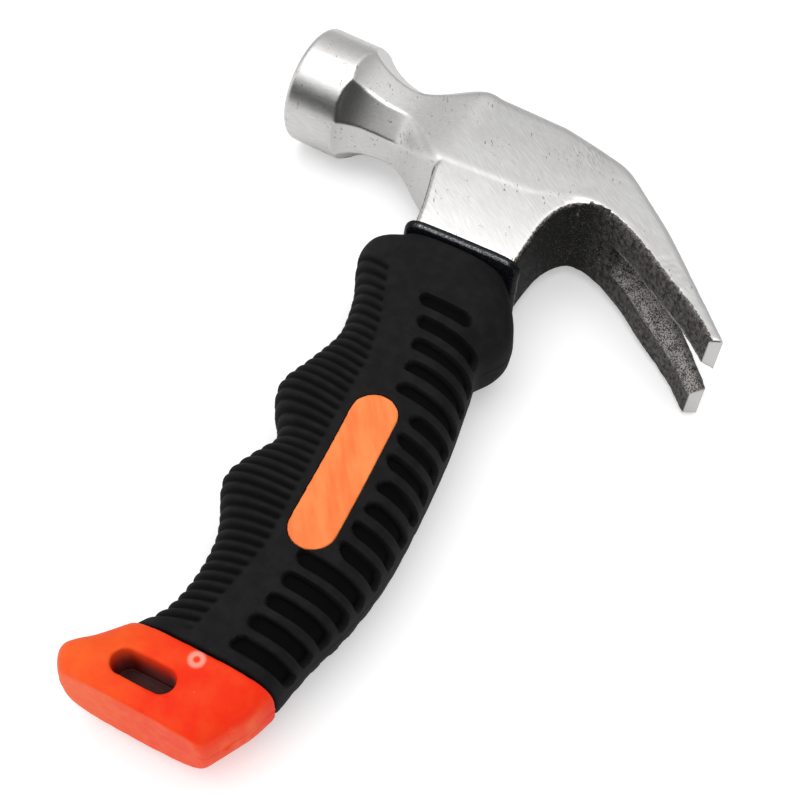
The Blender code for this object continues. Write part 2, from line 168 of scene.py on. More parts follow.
MM = 0.001
OCTAGON_CORNER = 2 - math.sqrt(2)
GRIP_TOP = -(SKIRT_DROP + 2 * CLEARANCE + BEAD_HEIGHT)
SEAM = GRIP_TOP - GRIP_LENGTH
BUTT_TOP = SEAM - CLEARANCE
BUTT_END = BUTT_TOP - BUTT_LENGTH
ROD_TOP = CHEEK_TOP - EPOXY_RECESS - EPOXY_CAP - CLEARANCE
SWELL = 2.6              # exponent of the handle's rounded section
BUTT_SWELL = 3.6
BEAD_SWELL = 7.0
ORIGIN = Vector((
    (CLAW_REACH - FACE_REACH) / 2,
    (BELL_RADIUS + BUTT_END + HANG * (BUTT_FRONT[-1][1] + BUTT_ROUND)) / 2,
    -BELL_RADIUS,
))


# ---- small tools ----------------------------------------------------------------------
def place(x, y, z):
    """A point of the design in the frame's metres."""
    return (Vector((x, y, z)) - ORIGIN) * MM


def ease(s):
    """0 to 1 with a soft start and a soft end; takes arrays too."""
    s = np.clip(s, 0.0, 1.0)
    return s * s * (3 - 2 * s)


def mix(a, b, s):
    return a + (b - a) * s


def through(points, t):
    """A smooth curve through (t, value) points."""
    index = 0
    while index < len(points) - 2 and t > points[index + 1][0]:
        index += 1
    (t1, v1), (t2, v2) = points[index], points[index + 1]
    t0, v0 = points[max(index - 1, 0)]
    t3, v3 = points[min(index + 2, len(points) - 1)]
    span = t2 - t1
    slope1 = (v2 - v0) / (t2 - t0) * span
    slope2 = (v3 - v1) / (t3 - t1) * span
    s = (t - t1) / span
    return (v1 * (2 * s ** 3 - 3 * s ** 2 + 1) + slope1 * (s ** 3 - 2 * s ** 2 + s)
            + v2 * (3 * s ** 2 - 2 * s ** 3) + slope2 * (s ** 3 - s ** 2))


def falling(points, y):
    """A straight-line table of (y, value), y falling; takes arrays."""
    ys, values = zip(*reversed(points))
    return np.interp(y, ys, values)


# ---- mesh tools -----------------------------------------------------------------------
def skin(name, rings):
    """A closed body through rings: a cylinder, cut into levels and pulled to the rings."""
    count, levels = len(rings[0]), len(rings) - 1
    bm = bmesh.new()
    bmesh.ops.create_cone(bm, cap_ends=True, cap_tris=False, segments=count,
                          radius1=1, radius2=1, depth=levels)
    rails = [edge for edge in bm.edges
             if abs(edge.verts[0].co.z - edge.verts[1].co.z) > levels / 2]
    if levels > 1:
        bmesh.ops.subdivide_edges(bm, edges=rails, cuts=levels - 1)
    for vert in bm.verts:
        level = round(vert.co.z + levels / 2)
        turn = round(math.atan2(vert.co.y, vert.co.x) / (2 * math.pi) * count) % count
        vert.co = rings[level][turn]
    return body_of(name, bm)


def body_of(name, bm):
    bmesh.ops.recalc_face_normals(bm, faces=bm.faces)
    mesh = bpy.data.meshes.new(name)
    bm.to_mesh(mesh)
    bm.free()
    body = bpy.data.objects.new(name, mesh)
    bpy.context.scene.collection.objects.link(body)
    return body


def combine(body, tool, operation):
    """Join or cut with another body, at once, and remove it."""
    step = body.modifiers.new(tool.name, "BOOLEAN")
    step.operation = operation
    step.solver = "EXACT"
    step.object = tool
    apply_modifiers(body)
    bpy.data.objects.remove(tool, do_unlink=True)


def apply_modifiers(body):
    seen = body.evaluated_get(bpy.context.evaluated_depsgraph_get())
    mesh = bpy.data.meshes.new_from_object(seen)
    body.modifiers.clear()
    body.data = mesh


def drop_slivers(body, size=0.003):
    """Merge the slivers, finer than size, that Booleans leave along their cuts."""
    bm = bmesh.new()
    bm.from_mesh(body.data)
    bmesh.ops.remove_doubles(bm, verts=bm.verts, dist=size)
    bmesh.ops.dissolve_degenerate(bm, edges=bm.edges, dist=size)
    bm.to_mesh(body.data)
    bm.free()


def round_over(body, voxel, passes):
    """Rebuild the surface as an even mesh and smooth its edges."""
    even = body.modifiers.new("even", "REMESH")
    even.mode = "VOXEL"
    even.voxel_size = voxel
    soft = body.modifiers.new("soft", "SMOOTH")
    soft.factor = 0.5
    soft.iterations = passes
    apply_modifiers(body)


def rows_of(items, name):
    flat = np.empty(len(items) * 3, np.float32)
    items.foreach_get(name, flat)
    return flat.reshape(-1, 3).astype(float)


def points_of(mesh):
    return rows_of(mesh.vertices, "co")


def normals_of(mesh):
    return rows_of(mesh.vertex_normals, "vector")


def move_points(mesh, points):
    mesh.vertices.foreach_set("co", points.astype(np.float32).ravel())
    mesh.update()


def write_mask(mesh, name, values):
    layer = mesh.attributes.new(name, "FLOAT", "POINT")
    layer.data.foreach_set("value", np.asarray(values, np.float32))


def lumps(points, size, seed):
    """Smooth noise from -1 to 1 at each point, lumps of about that size."""
    shift = Vector((seed * 17.3, seed * 5.1, seed * 9.7))
    return np.array([noise.noise(Vector(p) / size + shift) for p in points])


def into_frame(body, sharp_angle=32):
    body.data.transform(Matrix.Scale(MM, 4) @ Matrix.Translation(-ORIGIN))
    body.data.shade_smooth()
    body.data.set_sharp_from_angle(angle=math.radians(sharp_angle))


def rounded_ring(front, back, half, y, swell, count, inset=0.0):
    """Evenly spaced points round a leaning section, from its front over the top."""
    angle = math.pi - np.linspace(0, 2 * math.pi, 12 * count + 1)
    c, s = np.cos(angle), np.sin(angle)
    x = (front + back) / 2 + ((back - front) / 2 - inset) * np.sign(c) * abs(c) ** (2 / swell)
    z = (half - inset) * np.sign(s) * abs(s) ** (2 / swell)
    run = np.concatenate(([0], np.cumsum(np.hypot(np.diff(x), np.diff(z)))))
    even = np.linspace(0, run[-1], count + 1)[:-1]
    x, z = np.interp(even, run, x), np.interp(even, run, z)
    return np.stack((x, y + HANG * x, z), 1)


def prism(name, outline, reach):
    """A leaning outline in x and y, straight through the thickness."""
    return skin(name, [[(x, y + HANG * x, z) for x, y in outline] for z in (-reach, reach)])


# ---- head -----------------------------------------------------------------------------
CORNER_STEPS = 6


def head_section(top, bottom, half, corner, softness, under=1.0):
    """A block section across the head's run; softness turns its chamfers into arcs."""
    top, bottom = Vector(top), Vector(bottom)
    height = (bottom - top).length
    down = (bottom - top) / height
    quarter = []
    for step in range(CORNER_STEPS + 1):
        s = step / CORNER_STEPS
        bend = s * math.pi / 2
        deep = mix(s, (1 - math.cos(bend)) * (1 + 1.2 * softness), softness)
        wide = mix(s, math.sin(bend), softness)
        quarter.append((deep * corner, half - corner + wide * corner))
    side = quarter + [(height - deep * under, half - (half - z) * under)
                      for deep, z in reversed(quarter)]
    outline = side + [(deep, -z) for deep, z in reversed(side)]
    return [(*(top + down * deep), z) for deep, z in outline]


def neck_waist():
    return mix(-CHEEK_FRONT, -FACE_REACH + BELL_LENGTH, 0.56)


def neck_apothem(x):
    """Axis to flat: the waist sweeps out to the bell on an elliptic arc."""
    bell_back = -FACE_REACH + BELL_LENGTH
    share = min((neck_waist() - x) / (neck_waist() - bell_back), 1.05)
    reach = 0.945
    rise = (1 - math.sqrt(1 - (reach * share) ** 2)) / (1 - math.sqrt(1 - reach ** 2))
    return mix(NECK_APOTHEM, BELL_RADIUS, rise)


def bell_sections():
    """Octagons wider than the bell, then the sweep down to the waist."""
    wide = BELL_RADIUS * 1.25
    bell_back = -FACE_REACH + BELL_LENGTH
    flare = bell_back - 0.045 * (neck_waist() - bell_back)
    stations = [(-FACE_REACH, wide), (flare - 1.0, wide)]
    for step in range(33):
        x = mix(flare, neck_waist(), step / 32)
        stations.append((x, neck_apothem(x)))
    sections = []
    for x, apothem in stations:
        drop = NECK_DROP * float(ease((x - bell_back) / (neck_waist() - bell_back)))
        sections.append(head_section((x, apothem - drop), (x, -apothem - drop),
                                     apothem, apothem * OCTAGON_CORNER, 0.0))
    return sections


def cheek_sections():
    """From the waist the octagon opens into the cheek."""
    sections = []
    for step in range(1, 21):
        s = float(ease(step / 20))
        x = mix(neck_waist(), -CHEEK_FRONT, step / 20)
        sections.append(head_section(
            (x, mix(NECK_APOTHEM - NECK_DROP, CHEEK_TOP, s)),
            (x, mix(-NECK_APOTHEM - NECK_DROP, -CHEEK_DROP, s)),
            mix(NECK_APOTHEM, CHEEK_HALF, s),
            mix(NECK_APOTHEM * OCTAGON_CORNER, CHEEK_CORNER, s), s))
    return sections


def claw_pair(t):
    """Top and bottom point of the claw at t from 0, its first section, to 1, its tips."""
    count = len(CLAW_RUN) - 1
    pair = []
    for side in (0, 1):
        xs = [(i / count, section[side][0] * CLAW_REACH) for i, section in enumerate(CLAW_RUN)]
        ys = [(i / count, section[side][1]) for i, section in enumerate(CLAW_RUN)]
        pair.append(Vector((through(xs, t), through(ys, t))))
    return pair


def claw_half(x):
    start = CLAW_FLARE_START * CLAW_REACH
    return mix(CHEEK_HALF, CLAW_HALF, max(x - start, 0) / (CLAW_REACH - start))


def claw_sections(steps=72):
    sections = []
    for step in range(steps + 1):
        s = step / steps
        top, bottom = claw_pair(s)
        sections.append(head_section(top, bottom, claw_half((top.x + bottom.x) / 2),
                                     mix(CHEEK_CORNER, TIP_CORNER, s), 1.0, mix(1.0, 0.6, s)))
    return sections


SKIRT_ROWS = (  # (share of the drop, front edge, back edge), edges past those at the bottom
    (SKIRT_TOP, 2.2, 9.0), (0.31, 2.4, 5.2), (0.35, 2.8, 3.4), (0.42, 3.4, 1.9),
    (0.50, 3.7, 0.9), (0.62, 2.7, 0.2), (0.80, 1.2, 0.0), (1.00, 0.0, 0.0),
)


def skirt_sections():
    """The eye skirt hangs below the cheek and narrows towards the collar."""
    fronts = [(share, front) for share, front, back in SKIRT_ROWS]
    backs = [(share, back) for share, front, back in SKIRT_ROWS]
    sections = []
    for step in range(41):
        share = mix(SKIRT_TOP, 1.0, step / 40)
        left = -SKIRT_FRONT - through(fronts, share)
        right = SKIRT_BACK + through(backs, share)
        half = mix(CHEEK_HALF, SKIRT_HALF, step / 40)
        corner, y = SKIRT_CORNER, -SKIRT_DROP * share
        outline = ((left, half - corner), (left + corner, half), (right - corner, half),
                   (right, half - corner), (right, corner - half), (right - corner, -half),
                   (left + corner, -half), (left, corner - half))
        sections.append([(x, y + HANG * x, z) for x, z in outline])
    return sections


def bell_shaper():
    """A thick tube whose bore turns the octagon into the round bell and its rim."""
    bm = bmesh.new()
    rim = BELL_RADIUS - FACE_CHAMFER
    far, back = BELL_RADIUS * 3, neck_waist()
    profile = [(-FACE_REACH - 1, rim - 1)]
    for step in range(7):
        bend = step / 6 * math.pi / 2
        profile.append((-FACE_REACH + FACE_CHAMFER * mix(step / 6, 1 - math.cos(bend), 0.6),
                        rim + FACE_CHAMFER * mix(step / 6, math.sin(bend), 0.6)))
    profile += [(back, BELL_RADIUS), (back, far), (-FACE_REACH - 1, far)]
    verts = [bm.verts.new((x, radius, 0)) for x, radius in profile]
    edges = [bm.edges.new((verts[i], verts[i - 1])) for i in range(len(verts))]
    bmesh.ops.spin(bm, geom=verts + edges, cent=(0, 0, 0), axis=(1, 0, 0),
                   angle=2 * math.pi, steps=144, use_merge=True)
    return body_of("bell_shaper", bm)


def slot_start():
    start = 0.0
    while claw_pair(start)[0].x < NAIL_SLOT_START * CLAW_REACH:
        start += 0.01
    return start


def nail_slot():
    """The V between the prongs, wider on the underside of the claw."""
    rings, steps, start = [], 24, slot_start()
    for step in range(-1, steps + 2):
        s = max(step / steps, 0.0)
        top, bottom = claw_pair(min(mix(start, 1.0, s), 1.0))
        if step > steps:
            before = claw_pair(mix(start, 1.0, 1 - 1 / steps))
            top, bottom = 2 * top - before[0], 2 * bottom - before[1]
        overrun = (top - bottom) * SLOT_OVERRUN
        outer, under = top + overrun, bottom - overrun
        wide = mix(SLOT_ROOT_UNDER, SLOT_TIP_UNDER, s)
        narrow = mix(SLOT_ROOT_TOP, SLOT_TIP_TOP, s)
        if step < 0:
            run_in = (claw_pair(start + 0.01)[1] - bottom).normalized() * SLOT_RUN_IN
            outer, under = outer - run_in, under - run_in
            wide, narrow = 0.25, 0.2
        spread = (wide - narrow) * SLOT_OVERRUN
        narrow, wide = narrow - spread, wide + spread
        rings.append([(outer.x, outer.y, narrow), (under.x, under.y, wide),
                      (under.x, under.y, -wide), (outer.x, outer.y, -narrow)])
    return skin("nail_slot", rings)


def root_scoop():
    """The hollow that the forging die leaves at the root of the nail slot."""
    bm = bmesh.new()
    bmesh.ops.create_uvsphere(bm, u_segments=48, v_segments=24, radius=1)
    tilt = Matrix.Rotation(math.radians(SCOOP_TILT), 3, "Z")
    bmesh.ops.scale(bm, vec=SCOOP_SIZE, verts=bm.verts)
    bmesh.ops.rotate(bm, cent=(0, 0, 0), matrix=tilt, verts=bm.verts)
    bmesh.ops.translate(bm, vec=SCOOP_PLACE, verts=bm.verts)
    return body_of("root_scoop", bm)


def claw_distances(points):
    """Distance of each point, seen from the side, to the claw's outer and under lines."""
    steps = 140
    pairs = [claw_pair(step / steps) for step in range(steps + 1)]
    found = []
    for side in (0, 1):
        line = np.array([tuple(pair[side]) for pair in pairs])
        near = np.full(len(points), 1e9)
        for first, last in zip(line[:-1], line[1:]):
            run = last - first
            share = np.clip(((points[:, :2] - first) @ run) / (run @ run), 0, 1)
            foot = first + share[:, None] * run
            near = np.minimum(near, np.hypot(*(points[:, :2] - foot).T))
        found.append(near)
    return found


def head_masks(mesh):
    """Where the steel is left as forged, speckled or freshly ground, for its material."""
    points, normals = points_of(mesh), normals_of(mesh)
    x, y, z = points.T
    outer, under = claw_distances(points)
    on_claw = ease((x - 15.5) / 1.5)
    # millimetres inside the forged skin: above 0 is forged, below 0 is polished
    from_side = 0.95 - under
    start = claw_pair(slot_start())
    ahead = np.clip((x - start[1].x) / (claw_pair(1.0)[1].x - start[1].x), 0, 1)
    share = under / np.maximum(under + outer, 1e-6)
    half_slot = mix(mix(SLOT_ROOT_UNDER, SLOT_TIP_UNDER, ahead),
                    mix(SLOT_ROOT_TOP, SLOT_TIP_TOP, ahead), share)
    in_slot = 0.45 - (abs(z) - half_slot) - 4 * (1 - ease((x - start[1].x + 6) / 3))
    in_slot = np.where(abs(normals[:, 2]) > 0.35, in_slot, np.minimum(in_slot, 0.2))
    drop = (HANG * x - y) / SKIRT_DROP
    back_wall = SKIRT_BACK + np.interp(drop, *zip(*[(row[0], row[2]) for row in SKIRT_ROWS]))
    on_skirt_wall = np.where((drop > 0.3) & (x < 20.5), x - (back_wall - 0.75), -3)
    forged = np.maximum(np.minimum(from_side, 3 * on_claw - 1), in_slot)
    forged = np.maximum(forged, on_skirt_wall)
    half_width = np.array([claw_half(value) for value in x])
    inner = (abs(z) < half_width - 0.6) & (share < 0.7) & (x > 15)
    forged = np.where(inner, np.maximum(forged, 2.0), forged)
    forged = np.where(x < 8, -3, forged)
    front_wall = -SKIRT_FRONT - np.interp(drop, *zip(*[(row[0], row[1]) for row in SKIRT_ROWS]))
    on_front_wall = np.where((drop > 0.5) & (x < -8), front_wall + 0.3 - x, -3)
    forged = np.maximum(forged, on_front_wall)
    tips = ease((claw_distances_to_tip(points) - 0.12) / -0.1)
    bare_wall = ease(1.9 - 2.6 * abs(abs(z) - half_slot - 0.1)) * ease((ahead - 0.01) / 0.1)
    write_mask(mesh, "forged_depth", forged)
    write_mask(mesh, "slot_wall", bare_wall * (1 - tips) * ease((0.95 - share) / 0.45))
    write_mask(mesh, "ground_tip", tips)


def claw_distances_to_tip(points):
    """How far behind the plane of the ground claw tips each point lies."""
    top, bottom = claw_pair(1.0)
    across = (top - bottom).normalized()
    along = Vector((-across.y, across.x))
    if along.dot(top - claw_pair(0.95)[0]) < 0:
        along = -along
    return -((points[:, 0] - top.x) * along.x + (points[:, 1] - top.y) * along.y)


def wear_head(mesh):
    """Crown the cheeks and give the forged skin its hammered unevenness."""
    points, normals = points_of(mesh), normals_of(mesh)
    x, y, z = points.T
    under = claw_distances(points)[1]
    cheek = ease((x + 16) / 5) * ease((26 - x) / 14)
    points[:, 2] -= np.sign(z) * cheek * CHEEK_CROWN * ((y + 8) / 18) ** 2 * ease(abs(z) / 6)
    rough = ease((1.3 - under) / 1.0) * ease((x - 10) / 3)
    rough = np.maximum(rough, ease((x - 10.2) / 0.6) * ease((-y - 11) / 3) * 0.5)
    rough *= ease((claw_distances_to_tip(points) - 0.5) / 0.8)
    coarse, fine = lumps(points, 2.6, 1), lumps(points, 0.9, 2)
    bump = rough * (0.10 * coarse + 0.075 * fine)
    bump += (1 - rough) * 0.012 * lumps(points, 4.0, 3)
    points += normals * (bump - 0.03 * rough)[:, None]
    points[:, 0] = np.maximum(points[:, 0], 0.001 - FACE_REACH)
    move_points(mesh, points)


def make_head(steel):
    head = skin("steel_head", bell_sections() + cheek_sections() + claw_sections())
    combine(head, skin("skirt", skirt_sections()), "UNION")
    combine(head, bell_shaper(), "DIFFERENCE")
    combine(head, nail_slot(), "DIFFERENCE")
    combine(head, root_scoop(), "DIFFERENCE")
    round_over(head, HEAD_GRAIN, 4)
    wear_head(head.data)
    combine(head, upright("eye", EYE_LENGTH / 2, EYE_WIDTH / 2, -SKIRT_DROP - 5, CHEEK_TOP + 5),
            "DIFFERENCE")
    head_masks(head.data)
    into_frame(head, 50)
    head.data.materials.append(steel)
    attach(head, "root")
    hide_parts("claw_hammer_head")


# ---- resin ----------------------------------------------------------------------------
def upright(name, half_x, half_z, low, high, count=64):
    """An upright rounded block along y, for the eye and what stands in it."""
    rings = []
    for y in (low, high):
        ring = rounded_ring(-half_x, half_x, half_z, 0, 4.0, count)
        rings.append([(x, y, z) for x, _, z in ring])
    return skin(name, rings)


def rod_socket(name, low):
    half_x = EYE_LENGTH / 2 - EPOXY_LAYER - CLEARANCE
    half_z = EYE_WIDTH / 2 - EPOXY_LAYER - CLEARANCE
    return upright(name, half_x, half_z, low, ROD_TOP + CLEARANCE)


def bead_rings(count=260, steps=18):
    """The rolled edge of resin squeezed out under the skirt, uneven along its run."""
    top = -SKIRT_DROP - CLEARANCE
    rings = []
    for step in range(steps + 1):
        angle = math.pi * step / steps
        y = top - BEAD_HEIGHT * (1 - math.cos(angle)) / 2
        bulge = BEAD_OVERHANG * (math.sin(angle) * BEAD_SWELL_OUT - BEAD_TUCK_IN)
        ring = rounded_ring(-SKIRT_FRONT - bulge, SKIRT_BACK + bulge, SKIRT_HALF + bulge, y,
                            BEAD_SWELL, count)
        centre = np.array(((SKIRT_BACK - SKIRT_FRONT) / 2, 0, 0))
        out = ring - centre
        out[:, 1] = 0
        out /= np.linalg.norm(out, axis=1)[:, None]
        uneven = 0.10 * lumps(ring * (1, 0, 1), 3.0, 5) + 0.05 * lumps(ring * (1, 0, 1), 1.1, 6)
        drip = 0.55 * np.exp(-((ring[:, 0] - 10.5) ** 2 + (abs(ring[:, 2]) - 8) ** 2) / 5)
        rings.append(ring + out * ((uneven + drip) * math.sin(angle))[:, None])
    return rings


def make_resin(resin):
    plug = upright("resin", EYE_LENGTH / 2 - CLEARANCE, EYE_WIDTH / 2 - CLEARANCE,
                   -SKIRT_DROP - CLEARANCE - BEAD_HEIGHT / 2, CHEEK_TOP - EPOXY_RECESS)
    combine(plug, skin("bead", bead_rings()), "UNION")
    combine(plug, rod_socket("rod_hole", GRIP_TOP - 10), "DIFFERENCE")
    into_frame(plug, 40)
    plug.data.materials.append(resin)
    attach(plug, "root")
    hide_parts("eye_epoxy")


# ---- handle ---------------------------------------------------------------------------
def grip_ring(t, inset, count):
    return rounded_ring(through(GRIP_FRONT, t), through(GRIP_BACK, t), through(GRIP_HALF, t),
                        mix(GRIP_TOP, SEAM, t), SWELL, count, inset)


def butt_ring(t, inset, count=120):
    return rounded_ring(through(BUTT_FRONT, t), through(BUTT_BACK, t), through(BUTT_HALF, t),
                        mix(BUTT_TOP, BUTT_END, t), BUTT_SWELL, count, inset)


def grip_form(name, inset, steps, count, start=0.0, past=0.0):
    """The grip's outer shape, inset, from start mm below its top; past runs it out below."""
    top = start / GRIP_LENGTH
    rings = [grip_ring(mix(top, 1.0, step / steps), inset, count) for step in range(steps + 1)]
    if past:
        rings.append(rings[-1] - np.array((0, past, 0)))
    return skin(name, rings)


def land_point(t):
    return Vector((through(LAND_LINE, t), mix(GRIP_TOP, SEAM, t)))


def land_outline(half):
    """A slightly bent capsule, in the handle's leaning x and y."""
    first, last = LAND_LINE[0][0], LAND_LINE[-1][0]
    outline = []
    for side in (1, -1):
        for step in range(17):
            t = mix(first, last, step / 16) if side > 0 else mix(last, first, step / 16)
            point = land_point(t)
            ahead = (land_point(t + 0.01) - land_point(t - 0.01)).normalized()
            outline.append(tuple(point + side * half * Vector((-ahead.y, ahead.x))))
        end = land_point(last if side > 0 else first)
        run = (land_point(last) - land_point(first)).normalized() * side
        across = Vector((-run.y, run.x))
        for step in range(1, 24):
            angle = math.pi * step / 24
            outline.append(tuple(end + half * (across * math.cos(angle)
                                               + run * math.sin(angle))))
    return outline


def hanging_slot():
    """A round-ended slot along x, straight through the butt, flared at both faces."""
    radius = HANG_SLOT_WIDTH / 2 - HANG_SLOT_INSET
    y = BUTT_END + HANG_SLOT_EDGE + HANG_SLOT_INSET
    flare, rings = HANG_SLOT_FLARE, []
    for z, grow in ((-20, flare), (-8.05, flare), (-7.8, 0), (7.8, 0), (8.05, flare), (20, flare)):
        ring = []
        for side in (1, -1):
            for step in range(25):
                angle = math.pi * (step / 24 - 0.5)
                x = HANG_SLOT_X + side * ((HANG_SLOT_LENGTH - HANG_SLOT_WIDTH) / 2 - 0.1
                                          + (radius + grow) * math.cos(angle))
                lift = side * (radius + grow) * math.sin(angle)
                ring.append((x, y + lift + HANG * x, z))
        rings.append(ring)
    return skin("hanging_slot", rings)


RING_MARK = (5.2, -125.1)    # x and y of the small ring that the mould leaves
FLASH_NUBS = ((-9.3, -124.6), (15.6, -132.6))    # x and y of flash left on the parting line


def make_core(plastic):
    """Butt, stem under the grip, and the lands that show in the grip's windows."""
    edge = BUTT_ROUND / BUTT_LENGTH
    rings = [butt_ring(0.0, 0.35), butt_ring(edge * 0.12, 0.16), butt_ring(edge * 0.4, 0.0)]
    rings += [butt_ring(mix(edge * 0.5, 1 - edge, step / 30), 0.0) for step in range(31)]
    for step in range(1, 7):
        bend = step / 6 * math.pi / 2
        rings.append(butt_ring(1 - edge * (1 - math.sin(bend)),
                               BUTT_ROUND * (1 - math.cos(bend))))
    core = skin("orange_core", rings)
    combine(core, hanging_slot(), "DIFFERENCE")
    round_over(core, BUTT_GRAIN, 4)
    dress_butt(core.data)

    lands = prism("lands", land_outline(LAND_HALF), 20)
    combine(lands, grip_form("land_height", -LAND_PROUD, 88, 96), "INTERSECT")
    round_over(lands, LAND_GRAIN, 5)

    combine(core, make_stem(), "UNION")
    combine(core, lands, "UNION")
    combine(core, rod_socket("rod_hole", ROD_TOP - ROD_LENGTH - CLEARANCE), "DIFFERENCE")
    drop_slivers(core)
    core_masks(core.data)
    into_frame(core, 50)
    core.data.materials.append(plastic)
    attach(core, "root")
    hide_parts("handle_core")


def make_stem():
    """The core inside the grip, run 2 mm into the butt."""
    inset = GRIP_WALL + CLEARANCE
    stem = grip_form("stem", inset, 48, 48, start=GRIP_LIP + CLEARANCE)
    last = grip_ring(1.0, inset, 48)
    root = [grip_ring(0.97, inset, 48), last, last - np.array((0, 2, 0))]
    combine(stem, skin("stem_root", root), "UNION")
    return stem


def core_masks(mesh):
    """Where the plastic is the pale inlay, scuffed, or deep in the slot's shade."""
    points = points_of(mesh)
    x, z = points[:, 0], points[:, 2]
    lean_y = points[:, 1] - HANG * x
    t = (lean_y - GRIP_TOP) / (SEAM - GRIP_TOP)
    off_face = 1 - abs(normals_of(mesh)[:, 2])
    from_slot = np.hypot(np.maximum(abs(x - HANG_SLOT_X) - 3.5, 0),
                         lean_y - BUTT_END - HANG_SLOT_EDGE - HANG_SLOT_INSET)
    in_slot = from_slot < 2.6
    write_mask(mesh, "inlay", ease((0.9 - t) / 0.05))
    write_mask(mesh, "scuffed",
               ease((off_face - 0.45) / 0.4) * ease((t - 1.02) / 0.03) * ~in_slot)
    write_mask(mesh, "shaded", in_slot * ease((7.9 - z) / 7.0))


def dress_butt(mesh):
    """Sink marks, the mould's ring and its parting line."""
    points, normals = points_of(mesh), normals_of(mesh)
    x, y, z = points.T
    swell = 0.05 * lumps(points, 5.0, 8) + 0.018 * lumps(points, 1.2, 9) - 0.03
    ring = np.hypot(x - RING_MARK[0], y - RING_MARK[1])
    swell += 0.11 * np.exp(-((ring - 1.15) / 0.26) ** 2) * (normals[:, 2] > 0.5)
    swell += 0.16 * np.exp(-(z / 0.26) ** 2) * (1 - abs(normals[:, 2]))
    for nub_x, nub_y in FLASH_NUBS:
        away = (x - nub_x) ** 2 + (y - nub_y) ** 2 + 2 * z ** 2
        swell += 0.55 * np.exp(-away / 0.7) * (1 - abs(normals[:, 2]))
    points += normals * swell[:, None]
    lowest = BUTT_END + HANG * points[:, 0]
    points[:, 1] = np.maximum(points[:, 1], lowest + 0.03)
    move_points(mesh, points)


def tread(points, run, length):
    """Depth of the ribs and slots at each point, and their painted shade; run is the way round from
    the front.
    """
    x, y = points[..., 0], points[..., 1]
    lean_y = y - HANG * x
    # fine ribs round the finger side
    crossing = (y - RIB_SLOPE * x) / (1 + RIB_FAN * x)
    valley = 0.5 - 0.5 * np.cos(2 * math.pi * (crossing - RIB_TOP) / RIB_PITCH)
    inner = falling(RIB_ENDS, y)
    ribbed = ease((inner - x) / 0.8) * ease((RIB_TOP - crossing) / 0.5)
    ribbed = ribbed * ease((lean_y - SEAM - 1.6) / 1.0)
    depth = RIB_DEPTH * valley ** 1.3 * ribbed
    # painted shade, darkest at the bottom of each groove
    dark = valley ** 1.3 * ribbed
    # wide slots up the back
    for bar in range(BAR_COUNT):
        line = through(BAR_LINES, bar)
        t = (line - GRIP_TOP) / (SEAM - GRIP_TOP)
        start = float(falling(BAR_STARTS, line))
        if LAND_LINE[0][0] - 0.03 < t < LAND_LINE[-1][0] + 0.03:
            start = max(start, through(LAND_LINE, t) + LAND_HALF + BAR_LAND_GAP)
        level = int(np.argmin(abs(lean_y[:, 0] - line)))
        half_ring = slice(0, points.shape[1] // 2 + 1)
        first = float(np.interp(start + BAR_HALF, x[level, half_ring], run[level, half_ring]))
        last = length[level] / 2 - BAR_BACK_MARGIN - BAR_HALF
        if bar < len(SHORT_BARS):
            last = first + SHORT_BARS[bar]
        beyond = np.maximum(np.maximum(first - run, run - last), 0)
        away = np.hypot(beyond, lean_y - line - HANG * start)
        slot = ease((BAR_HALF + 0.2 - away) / 0.42)
        depth = np.maximum(depth, BAR_DEPTH * slot)
        dark = np.maximum(dark, slot)
    return depth, dark


def treaded_rings(levels=330, count=196):
    """The grip's outer surface with its tread and collar, and the painted shade of each point, by
    how deep it is cut.
    """
    rings = np.array([grip_ring(step / levels, 0.0, count) for step in range(levels + 1)])
    gaps = np.linalg.norm(np.roll(rings, -1, 1) - rings, axis=2)
    run = np.concatenate((np.zeros((levels + 1, 1)), np.cumsum(gaps, 1)[:, :-1]), 1)
    length = gaps.sum(1)
    run = np.minimum(run, length[:, None] - run)
    along = np.gradient(rings, axis=0)
    around = (np.roll(rings, -1, 1) - np.roll(rings, 1, 1)) / 2
    normal = np.cross(around, along)
    normal /= np.linalg.norm(normal, axis=2)[:, :, None]
    if (normal[levels // 2, count // 4, 2]) < 0:
        normal = -normal
    depth, dark = tread(rings, run, length)
    lean_y = rings[..., 1] - HANG * rings[..., 0]
    top_edge = np.clip(1 - (GRIP_TOP - lean_y) / 0.9, 0, 1)
    low_edge = np.clip(1 - (lean_y - SEAM) / 0.4, 0, 1)
    collar = np.clip(1 - (GRIP_TOP - lean_y) / 3.2, 0, 1)
    ends = ease((abs(rings[..., 0]) - 9.0) / 3.0)
    depth = depth + 0.3 * low_edge ** 2
    shoulder = SHOULDER_ROUND * (1 - np.sqrt(1 - top_edge ** 2))
    shoulder = shoulder + (SHOULDER_PULL + SHOULDER_CORNERS * ends) * collar ** 1.6
    back_line = np.exp(-((length[:, None] / 2 - run) / 0.2) ** 2)
    front_line = np.exp(-(run / 0.2) ** 2)
    depth = depth - 0.10 * back_line - 0.05 * front_line
    level_normal = normal * (1, 0, 1)
    level_normal /= np.linalg.norm(level_normal, axis=2)[:, :, None]
    return rings - normal * depth[..., None] - level_normal * shoulder[..., None], dark


